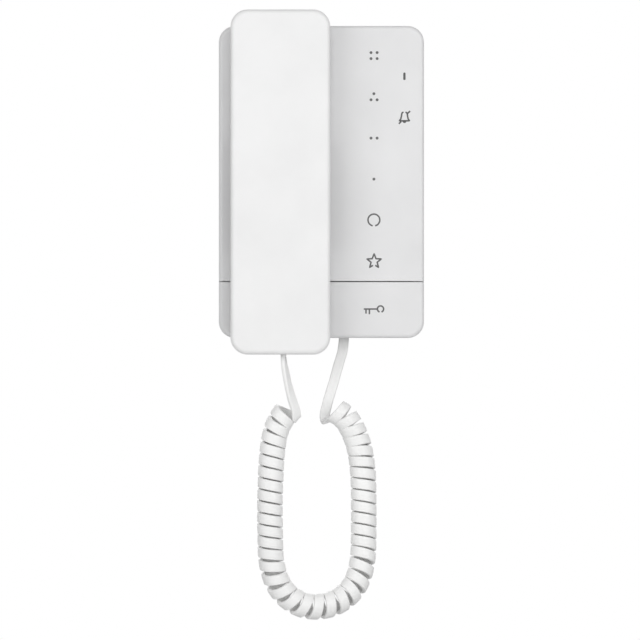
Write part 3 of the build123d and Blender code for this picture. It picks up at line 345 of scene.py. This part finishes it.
def pick(*objects):
    """Selects these objects alone, the last one active."""
    bpy.ops.object.select_all(action="DESELECT")
    for item in objects:
        item.select_set(True)
    bpy.context.view_layer.objects.active = objects[-1]


def outward_normals(item):
    """Turns every face of a closed piece outward."""
    pick(item)
    bpy.ops.object.mode_set(mode="EDIT")
    bpy.ops.mesh.select_all(action="SELECT")
    bpy.ops.mesh.normals_make_consistent(inside=False)
    bpy.ops.object.mode_set(mode="OBJECT")


outward_normals(curly_cord)
bpy.ops.object.shade_smooth_by_angle(angle=SMOOTH_ANGLE)
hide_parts("base_lead", "cord_coil", "handset_lead")
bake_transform(curly_cord)
print("cord faces:", len(cord_mesh.polygons))

# %% [markdown]
# The touch symbols are printed in grey on the cover: groups of dots for the first four keys, a
# broken ring, a star, a crossed bell and a key for the door. They could be a mask in the cover's
# material. Here each is a thin raised print of its own, because a drawn line keeps its edge sharp
# from close by.

# %% Printed symbols
PRINT_RISE = 0.05 * MM
STROKE = 1.58 * PIXEL
CORNER_HOLD = 0.6 * PIXEL
CORNER_ROOM = 3 * CORNER_HOLD
DOT_RADIUS = 1.45 * PIXEL
DOT_BEVEL = DOT_RADIUS / 6
DOT_SIDES = 40
cover_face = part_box("lock_release_key")[0].y


def settle(item, name, body):
    """Flattens a print, sets it on the cover's face and lets it ride on a body."""
    pick(item)
    bpy.ops.object.transform_apply(location=True, rotation=True, scale=True)
    item.name = item.data.name = name
    depth = max(abs(vertex.co.y) for vertex in item.data.vertices)
    item.scale = (1, PRINT_RISE / depth, 1)
    item.location = (0, cover_face, 0)
    bpy.ops.object.transform_apply(location=True, rotation=True, scale=True)
    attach(item, body)
    return item


def stroke(points):
    """A drawn line through pixels of the frame, as a round bar of the print's width."""
    curve = bpy.data.curves.new("stroke", "CURVE")
    curve.dimensions = "3D"
    curve.bevel_depth = STROKE / 2
    curve.bevel_resolution = 2
    curve.use_fill_caps = True
    knots = [Vector(from_pixel(*point)) for point in points]
    held = [knots[0]]
    for first, second in zip(knots, knots[1:]):
        step = second - first
        if step.length > CORNER_ROOM:
            hold = step.normalized() * CORNER_HOLD
            held += [first + hold, second - hold]
        held.append(second)
    spline = curve.splines.new("POLY")
    spline.points.add(len(held) - 1)
    for knot, (x, z) in zip(spline.points, held):
        knot.co = (x, 0, z, 1)
    item = bpy.data.objects.new("stroke", curve)
    bpy.context.scene.collection.objects.link(item)
    pick(item)
    bpy.ops.object.convert(target="MESH")
    return bpy.context.object


def joined(items):
    """Several drawn lines as one piece."""
    pick(*items)
    if len(items) > 1:
        bpy.ops.object.join()
    return bpy.context.object


def dot(px, py):
    """A round dot with a softened rim."""
    x, z = from_pixel(px, py)
    bpy.ops.mesh.primitive_cylinder_add(
        vertices=DOT_SIDES, radius=DOT_RADIUS, depth=2 * DOT_RADIUS, location=(x, 0, z),
        rotation=(math.radians(90), 0, 0),
    )
    item = bpy.context.object
    bpy.ops.object.transform_apply(location=True, rotation=True)
    bpy.ops.object.mode_set(mode="EDIT")
    bpy.ops.mesh.select_all(action="SELECT")
    bpy.ops.mesh.bevel(offset=DOT_BEVEL, segments=2)
    bpy.ops.object.mode_set(mode="OBJECT")
    return item


DOTS = {
    "call_dots_four": [(371.0, 52.6), (377.1, 52.6), (371.0, 58.6), (377.1, 58.6)],
    "call_dots_three": [(373.9, 93.7), (371.0, 99.8), (377.1, 99.8)],
    "call_dots_two": [(371.0, 138.1), (377.1, 138.1)],
    "call_dot_one": [(373.9, 179.1)],
}
prints = [
    settle(joined([dot(*spot) for spot in spots]), name, "base") for name, spots in DOTS.items()
]
print("dots:", sum(len(spots) for spots in DOTS.values()))

# %% [markdown]
# The ring and the star are open at the foot, so their outlines are drawn from one side of the gap
# round to the other. The points of the star come from two circles, five tips on the larger and
# five notches on the smaller.

# %% Ring and star
RING_CENTRE, RING_RADIUS = (373.9, 220.0), 5.9
RING_GAP, RING_STEPS = 12.0, 47
STAR_CENTRE, STAR_TIP, STAR_NOTCH = (374.1, 261.3), 7.6, 3.2
STAR_CORNERS = 10
STAR_GAP = 0.25


def on_circle(centre, radius, degrees):
    """A pixel on a circle, with degrees counted clockwise from the foot."""
    angle = math.radians(degrees)
    return centre[0] - radius * math.sin(angle), centre[1] + radius * math.cos(angle)


def open_ring(centre, radius, gap, steps):
    """Pixels round a circle that is left open on both sides of its foot."""
    arc = 360 - 2 * gap
    return [on_circle(centre, radius, gap + arc * index / steps) for index in range(steps + 1)]


ring_points = open_ring(RING_CENTRE, RING_RADIUS, RING_GAP, RING_STEPS)
prints.append(settle(stroke(ring_points), "ring_symbol", "base"))
star_points = [
    on_circle(STAR_CENTRE, STAR_TIP if index % 2 else STAR_NOTCH, 360 / STAR_CORNERS * index)
    for index in range(STAR_CORNERS + 1)
]
for end, inner in ((0, 1), (STAR_CORNERS, STAR_CORNERS - 1)):
    first, second = Vector(star_points[end]), Vector(star_points[inner])
    star_points[end] = tuple(first.lerp(second, STAR_GAP))
prints.append(settle(stroke(star_points), "star_symbol", "base"))
print("ring and star drawn")

# %% [markdown]
# The bell is two curved sides that flare to a rim, a clapper below and a stroke across it for
# silence. The key is a broken bow, a shank and two teeth, and it moves with the door key that it
# is printed on.

# %% Bell and key
BELL = [
    [
        (403.6, 112.2), (402.3, 112.6), (401.7, 114.0), (401.4, 116.4), (400.8, 119.0),
        (399.3, 120.8), (404.4, 120.8), (409.5, 120.8), (408.2, 119.0), (407.6, 116.4),
        (407.3, 114.0), (406.7, 112.6), (405.4, 112.2),
    ],
    [(403.2, 121.4), (403.8, 122.1), (404.5, 122.3), (405.2, 122.1), (405.8, 121.4)],
    [(398.9, 123.8), (401.2, 121.5)],
    [(407.5, 113.6), (410.1, 111.0)],
]
KEY_CENTRE, KEY_BOW = (380.5, 309.0), 3.1
KEY_GAP, KEY_STEPS = 18.0, 31
bow_points = open_ring(KEY_CENTRE, KEY_BOW, KEY_GAP, KEY_STEPS)
KEY_LINES = [
    [(363.7, 309.0), (377.2, 309.0)],
    [(366.0, 309.0), (366.0, 313.6)],
    [(369.4, 309.0), (369.4, 314.2)],
]
prints.append(settle(joined([stroke(line) for line in BELL]), "silent_bell_symbol", "base"))
key_symbol = joined([stroke(bow_points)] + [stroke(line) for line in KEY_LINES])
prints.append(settle(key_symbol, "door_key_symbol", "lock_release_key"))
print("printed pieces:", len(prints))

# %% [markdown]
# Moulded plastic is never quite even: it has a fine spark-eroded grain, slow changes of shade and
# small changes of gloss where it is handled. All the plastics share one group of nodes that puts
# out a colour, a roughness and a height, each with its own values.

# %% Shared surface groups
def new_group(name, inputs, outputs):
    """A shader group with named sockets, and its inner ends."""
    group = bpy.data.node_groups.new(name, "ShaderNodeTree")
    for label, kind, value in inputs:
        socket = group.interface.new_socket(name=label, in_out="INPUT", socket_type=kind)
        socket.default_value = value
    for label, kind in outputs:
        group.interface.new_socket(name=label, in_out="OUTPUT", socket_type=kind)
    return group, group.nodes.new("NodeGroupInput"), group.nodes.new("NodeGroupOutput")


def add(tree, kind, **settings):
    """A node in a tree, with its settings and the values of its inputs."""
    node = tree.nodes.new("ShaderNode" + kind)
    for label, value in settings.items():
        if label.startswith("in_"):
            key = label[3:]
            node.inputs[int(key) if key.isdigit() else key.replace("_", " ")].default_value = value
        else:
            setattr(node, label, value)
    return node


FLOAT, COLOR = "NodeSocketFloat", "NodeSocketColor"
WHITE = (1, 1, 1, 1)


def moulded_group():
    """Fine grain, slow shade and uneven gloss of moulded plastic."""
    group, entry, leave = new_group(
        "moulded_surface",
        [
            ("Colour", COLOR, WHITE), ("Shade", FLOAT, 0.03), ("Grain Scale", FLOAT, 3000),
            ("Roughness", FLOAT, 0.4), ("Rough Spread", FLOAT, 0.08),
        ],
        [("Colour", COLOR), ("Roughness", FLOAT), ("Height", FLOAT)],
    )
    link = group.links.new
    place = add(group, "TexCoord").outputs["Object"]
    grain = add(group, "TexNoise", in_Detail=2.0, in_Roughness=0.6)
    link(place, grain.inputs["Vector"])
    link(entry.outputs["Grain Scale"], grain.inputs["Scale"])
    cloud = add(group, "TexNoise", in_Scale=38.0, in_Detail=3.0)
    link(place, cloud.inputs["Vector"])
    touch = add(group, "TexNoise", in_Scale=90.0, in_Detail=4.0)
    link(place, touch.inputs["Vector"])
    spread = add(group, "MapRange", in_1=0.3, in_2=0.7, in_3=-1.0, in_4=1.0)
    link(cloud.outputs["Fac"], spread.inputs[0])
    amount = add(group, "Math", operation="MULTIPLY")
    link(spread.outputs[0], amount.inputs[0])
    link(entry.outputs["Shade"], amount.inputs[1])
    factor = add(group, "Math", operation="ADD", in_1=1.0)
    link(amount.outputs[0], factor.inputs[0])
    tint = add(group, "VectorMath", operation="SCALE")
    link(entry.outputs["Colour"], tint.inputs[0])
    link(factor.outputs[0], tint.inputs["Scale"])
    link(tint.outputs[0], leave.inputs["Colour"])
    gloss = add(group, "MapRange", in_1=0.3, in_2=0.7, in_3=-1.0, in_4=1.0)
    link(touch.outputs["Fac"], gloss.inputs[0])
    uneven = add(group, "Math", operation="MULTIPLY_ADD")
    link(gloss.outputs[0], uneven.inputs[0])
    link(entry.outputs["Rough Spread"], uneven.inputs[1])
    link(entry.outputs["Roughness"], uneven.inputs[2])
    link(uneven.outputs[0], leave.inputs["Roughness"])
    link(grain.outputs["Fac"], leave.inputs["Height"])
    return group


def metal_group():
    """Drawn or brushed lines along one axis, with spots of dulled plating."""
    group, entry, leave = new_group(
        "worked_metal",
        [
            ("Colour", COLOR, WHITE), ("Line Scale", FLOAT, 900), ("Stretch", FLOAT, 0.05),
            ("Roughness", FLOAT, 0.35), ("Spots", FLOAT, 0.2),
        ],
        [("Colour", COLOR), ("Roughness", FLOAT), ("Height", FLOAT)],
    )
    link = group.links.new
    place = add(group, "TexCoord").outputs["Object"]
    size = add(group, "CombineXYZ", in_1=1.0, in_2=1.0)
    link(entry.outputs["Stretch"], size.inputs[0])
    stretched = add(group, "VectorMath", operation="MULTIPLY")
    link(place, stretched.inputs[0])
    link(size.outputs[0], stretched.inputs[1])
    lines = add(group, "TexNoise", in_Detail=3.0)
    link(stretched.outputs[0], lines.inputs["Vector"])
    link(entry.outputs["Line Scale"], lines.inputs["Scale"])
    spots = add(group, "TexVoronoi", in_Scale=260.0)
    link(place, spots.inputs["Vector"])
    light = add(group, "RGBToBW")
    link(spots.outputs["Color"], light.inputs[0])
    crystal = add(group, "MapRange", in_1=0.2, in_2=0.8, in_3=0.55, in_4=1.0)
    link(light.outputs[0], crystal.inputs[0])
    dull = add(group, "Mix", data_type="RGBA", blend_type="MULTIPLY")
    link(entry.outputs["Spots"], dull.inputs[0])
    link(entry.outputs["Colour"], dull.inputs[6])
    link(crystal.outputs[0], dull.inputs[7])
    link(dull.outputs[2], leave.inputs["Colour"])
    rough = add(group, "MapRange", in_1=0.3, in_2=0.7, in_3=-0.1, in_4=0.1)
    link(lines.outputs["Fac"], rough.inputs[0])
    total = add(group, "Math", operation="ADD")
    link(rough.outputs[0], total.inputs[0])
    link(entry.outputs["Roughness"], total.inputs[1])
    link(total.outputs[0], leave.inputs["Roughness"])
    link(lines.outputs["Fac"], leave.inputs["Height"])
    return group


MOULDED = moulded_group()
METAL = metal_group()
print("groups:", MOULDED.name, METAL.name)

# %% [markdown]
# A material takes its numbers that are the same all over on the shader itself, and only what
# changes over the surface comes from the group. The bump is a few hundredths of a millimetre, as
# on the real mould.


# %% Materials from the groups
def grouped(name, group, values, bump, constants):
    """A material whose colour, roughness and bump come from a shared group."""
    material = bpy.data.materials.new(name)
    material.use_nodes = True
    tree = material.node_tree
    shader = tree.nodes["Principled BSDF"]
    for label, value in constants.items():
        shader.inputs[label].default_value = value
    surface = tree.nodes.new("ShaderNodeGroup")
    surface.node_tree = group
    for label, value in values.items():
        surface.inputs[label].default_value = value
    tree.links.new(surface.outputs["Colour"], shader.inputs["Base Color"])
    tree.links.new(surface.outputs["Roughness"], shader.inputs["Roughness"])
    relief = add(tree, "Bump", in_Strength=0.6, in_Distance=bump)
    tree.links.new(surface.outputs["Height"], relief.inputs["Height"])
    tree.links.new(relief.outputs["Normal"], shader.inputs["Normal"])
    return material


def plastic(name, colour, rough=0.42, grain=3000, bump=0.02 * MM, shade=0.02, **constants):
    """Moulded plastic, rubber or paint of one colour."""
    values = {"Colour": (*colour, 1), "Shade": shade, "Grain Scale": grain, "Roughness": rough}
    return grouped(name, MOULDED, values, bump, {"Specular IOR Level": 0.35, **constants})


def metal(name, colour, rough=0.35, lines=900, stretch=0.05, spots=0.15):
    """Worked metal with lines along X."""
    values = {
        "Colour": (*colour, 1), "Line Scale": lines, "Stretch": stretch,
        "Roughness": rough, "Spots": spots,
    }
    return grouped(name, METAL, values, 0.01 * MM, {"Metallic": 1.0})


def grey(level):
    """A neutral colour of this level."""
    return (level, level, level)


handset_white = plastic("handset_white", (0.85, 0.85, 0.85), rough=0.46)
base_white = plastic("base_white", (0.752, 0.752, 0.757), rough=0.5)
cord_white = plastic("cord_white", (0.92, 0.92, 0.914), rough=0.36, grain=1800, shade=0.015)
print("shell materials:", handset_white.name, base_white.name, cord_white.name)

# %% [markdown]
# The boards are glass cloth under green lacquer. Copper lines show through as a paler pattern of
# straight runs, which a brick texture gives well enough for something seen through a window.


# %% Circuit board
def board_material():
    """Green lacquered board with paler runs of copper and tinned spots."""
    material = bpy.data.materials.new("lacquered_board")
    material.use_nodes = True
    tree = material.node_tree
    link = tree.links.new
    shader = tree.nodes["Principled BSDF"]
    shader.inputs["Coat Weight"].default_value = 0.4
    shader.inputs["Coat Roughness"].default_value = 0.15
    place = add(tree, "TexCoord").outputs["Object"]
    turned = add(tree, "Mapping")
    turned.inputs["Rotation"].default_value = (math.radians(90), 0, 0)
    link(place, turned.inputs["Vector"])
    runs = add(
        tree, "TexBrick", in_Color1=(0.02, 0.16, 0.07, 1), in_Color2=(0.025, 0.2, 0.085, 1),
        in_Mortar=(0.06, 0.36, 0.16, 1), in_Scale=170.0, in_Mortar_Size=0.09,
    )
    link(turned.outputs[0], runs.inputs["Vector"])
    spots = add(tree, "TexVoronoi", in_Scale=330.0)
    link(place, spots.inputs["Vector"])
    pads = add(tree, "MapRange", in_1=0.16, in_2=0.13)
    link(spots.outputs["Distance"], pads.inputs[0])
    tinned = add(tree, "Mix", data_type="RGBA")
    tinned.inputs[7].default_value = (0.6, 0.6, 0.57, 1)
    link(pads.outputs[0], tinned.inputs[0])
    link(runs.outputs["Color"], tinned.inputs[6])
    link(tinned.outputs[2], shader.inputs["Base Color"])
    link(pads.outputs[0], shader.inputs["Metallic"])
    rough = add(tree, "MapRange", in_3=0.45, in_4=0.3)
    link(runs.outputs["Fac"], rough.inputs[0])
    link(rough.outputs[0], shader.inputs["Roughness"])
    relief = add(tree, "Bump", in_Strength=0.5, in_Distance=0.03 * MM)
    link(runs.outputs["Fac"], relief.inputs["Height"])
    link(relief.outputs["Normal"], shader.inputs["Normal"])
    return material


lacquered_board = board_material()
print("board material:", lacquered_board.name)

# %% [markdown]
# Every solid of the frame keeps its shape and gets the finish of the real piece: satin shells,
# plated steel, tinned and lacquered electronics, clear plugs and dark sockets.

# %% Finish of every solid
FINISHES = [
    (handset_white, "handset_rear_shell handset_front_shell"),
    (base_white, "front_cover lock_release_key rear_housing"),
    (
        metal("zinc_sheet", (0.47, 0.48, 0.5), rough=0.38, lines=500, stretch=1.0, spots=0.3),
        "wall_bracket",
    ),
    (
        metal("zinc_screws", (0.47, 0.47, 0.49), rough=0.3, lines=1500),
        "bracket_lock_screw cover_screws board_screws terminal_screws handset_screws",
    ),
    (lacquered_board, "main_board touch_board handset_board"),
    (plastic("terminal_grey", (0.33, 0.36, 0.38), rough=0.5), "terminal_block"),
    (metal("drawn_can", (0.7, 0.7, 0.72), rough=0.28), "electrolytic_capacitors"),
    (
        plastic("component_black", grey(0.03), rough=0.45),
        "line_transformer control_chip config_switch board_header hook_switch door_switch",
    ),
    (
        metal("capsule_plate", (0.55, 0.55, 0.57), rough=0.4),
        "ringer_speaker receiver_capsule mic_capsule",
    ),
    (
        plastic("foam_black", grey(0.04), rough=0.85, grain=900, bump=0.15 * MM),
        "ringer_gasket receiver_gasket mic_boot",
    ),
    (plastic("smoked_guide", grey(0.1), rough=0.2, bump=0.005 * MM), "light_guide"),
    (plastic("lamp_resin", (0.8, 0.78, 0.68), rough=0.2), "status_lamp"),
    (metal("nickel_plate", (0.66, 0.64, 0.6), rough=0.18, stretch=1.0), "holding_magnet"),
    (metal("plain_steel", (0.5, 0.5, 0.5), rough=0.42), "handset_weight catch_plate key_springs"),
    (plastic("moving_white", grey(0.72), rough=0.4), "hook_plunger door_switch_stem"),
    (plastic("socket_black", grey(0.04), rough=0.4), "base_jack handset_jack"),
    (
        plastic(
            "clear_plug", (0.85, 0.87, 0.88), rough=0.12, bump=0.003 * MM,
            **{"Transmission Weight": 0.7},
        ),
        "base_plug handset_plug",
    ),
    (plastic("wire_red", (0.42, 0.02, 0.02), rough=0.45), "receiver_wires"),
]
finished = 0
for material, names in FINISHES:
    for name in names.split():
        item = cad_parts[name]
        item.data.materials.clear()
        item.data.materials.append(material)
        finished += 1
curly_cord.data.materials.append(cord_white)
symbol_grey = plastic("symbol_grey", grey(0.13), rough=0.55, shade=0.05)
symbol_dark = plastic("symbol_dark", grey(0.09), rough=0.55, shade=0.05)
for item in prints:
    item.data.materials.clear()
    item.data.materials.append(symbol_dark if item.name.startswith("silent_bell") else symbol_grey)
print("solids finished:", finished)

# %% [markdown]
# The two springs behind the door key stand on the base and are pressed together as the key goes
# in. A bevelled curve could wind them too. Here a small circle, the section of the wire, is
# screwed up to the spring's height, which makes an even wire in one step. The drawn springs
# replace the solids, since a imported solid keeps its shape.

# %% Springs of the door key
SPRING_RADIUS = 2.6 * MM
SPRING_WIRE = 0.35 * MM
SPRING_TURNS = 5
SPRING_STEPS = 40
SPRING_SIDES = 12
spring_low, spring_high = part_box("key_springs")
coil_reach = SPRING_RADIUS + SPRING_WIRE
spring_run = spring_high.y - spring_low.y - 2 * SPRING_WIRE
springs = []
for middle in (spring_low.x + coil_reach, spring_high.x - coil_reach):
    bpy.ops.mesh.primitive_circle_add(
        vertices=SPRING_SIDES, radius=SPRING_WIRE, location=(SPRING_RADIUS, 0, 0),
        rotation=(math.radians(90), 0, 0),
    )
    wire = bpy.context.object
    bpy.ops.object.transform_apply(location=True, rotation=True)
    winding = wire.modifiers.new("winding", "SCREW")
    winding.angle, winding.screw_offset = 2 * math.pi * SPRING_TURNS, spring_run
    winding.steps = winding.render_steps = SPRING_STEPS * SPRING_TURNS
    bpy.ops.object.modifier_apply(modifier="winding")
    wire.rotation_euler = (math.radians(90), 0, 0)
    wire.location = (middle, spring_high.y - SPRING_WIRE, (spring_low.z + spring_high.z) / 2)
    bpy.ops.object.transform_apply(location=True, rotation=True)
    bpy.ops.object.mode_set(mode="EDIT")
    bpy.ops.mesh.select_all(action="SELECT")
    bpy.ops.mesh.fill_holes(sides=0)
    bpy.ops.object.mode_set(mode="OBJECT")
    springs.append(wire)
spring_pair = joined(springs)
spring_pair.name = spring_pair.data.name = "key_spring_coils"
outward_normals(spring_pair)
bpy.ops.object.shade_smooth_by_angle(angle=SMOOTH_ANGLE)
spring_pair.data.materials.append(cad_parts["key_springs"].active_material)
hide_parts("key_springs")
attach(spring_pair, "base")
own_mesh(spring_pair)
print("spring box in mm:", [round(v / MM, 2) for v in (*spring_low, *spring_high)])

# %% [markdown]
# The station hangs on a wall that the picture leaves out, against plain white. A pale floor lies
# below it for the other views. Two broad lights from the sides leave the soft shade beside the
# handset, where one of the two is hidden by it, and the world fills in from all round.

# %% Floor, lights and background
FLOOR_DROP = 60 * MM
FLOOR_SIZE = 6
bpy.ops.mesh.primitive_plane_add(size=FLOOR_SIZE, location=(0, 0, cad_low.z - FLOOR_DROP))
floor = bpy.context.object
floor.name = "pale_floor"
floor_paint = plastic("floor_paint", grey(0.86), rough=0.7, grain=300)
floor.data.materials.append(floor_paint)
TARGET = Vector((0, 0, -40 * MM))


def soft_light(name, place, size, power):
    """A square area light aimed at the station."""
    bpy.ops.object.light_add(type="AREA", location=place)
    lamp = bpy.context.object
    lamp.name = name
    lamp.data.size = size
    lamp.data.energy = power
    lamp.rotation_euler = (TARGET - Vector(place)).to_track_quat("-Z", "Y").to_euler()
    return lamp


soft_light("left_light", (-0.95, -1.4, 0.25), 1.2, 9.0)
soft_light("right_light", (0.75, -1.5, 0.25), 1.2, 11.5)
soft_light("back_light", (0.0, 1.7, 0.4), 1.4, 6.5)
soft_light("top_light", (0.0, -0.9, 1.3), 0.8, 1.8)
soft_light("low_light", (0.0, -0.9, -1.3), 0.8, 1.8)
world = bpy.data.worlds.new("studio")
bpy.context.scene.world = world
world.use_nodes = True
tree = world.node_tree
background = tree.nodes["Background"]
rays = add(tree, "LightPath")
seen = add(tree, "Math", operation="MAXIMUM")
tree.links.new(rays.outputs["Is Camera Ray"], seen.inputs[0])
tree.links.new(rays.outputs["Is Glossy Ray"], seen.inputs[1])
clear = add(tree, "Math", operation="MAXIMUM")
tree.links.new(seen.outputs[0], clear.inputs[0])
tree.links.new(rays.outputs["Is Transmission Ray"], clear.inputs[1])
shown = add(tree, "Mix", data_type="RGBA")
shown.inputs[6].default_value = (0.3, 0.3, 0.3, 1)
shown.inputs[7].default_value = WHITE
tree.links.new(clear.outputs[0], shown.inputs[0])
tree.links.new(shown.outputs[2], background.inputs["Color"])
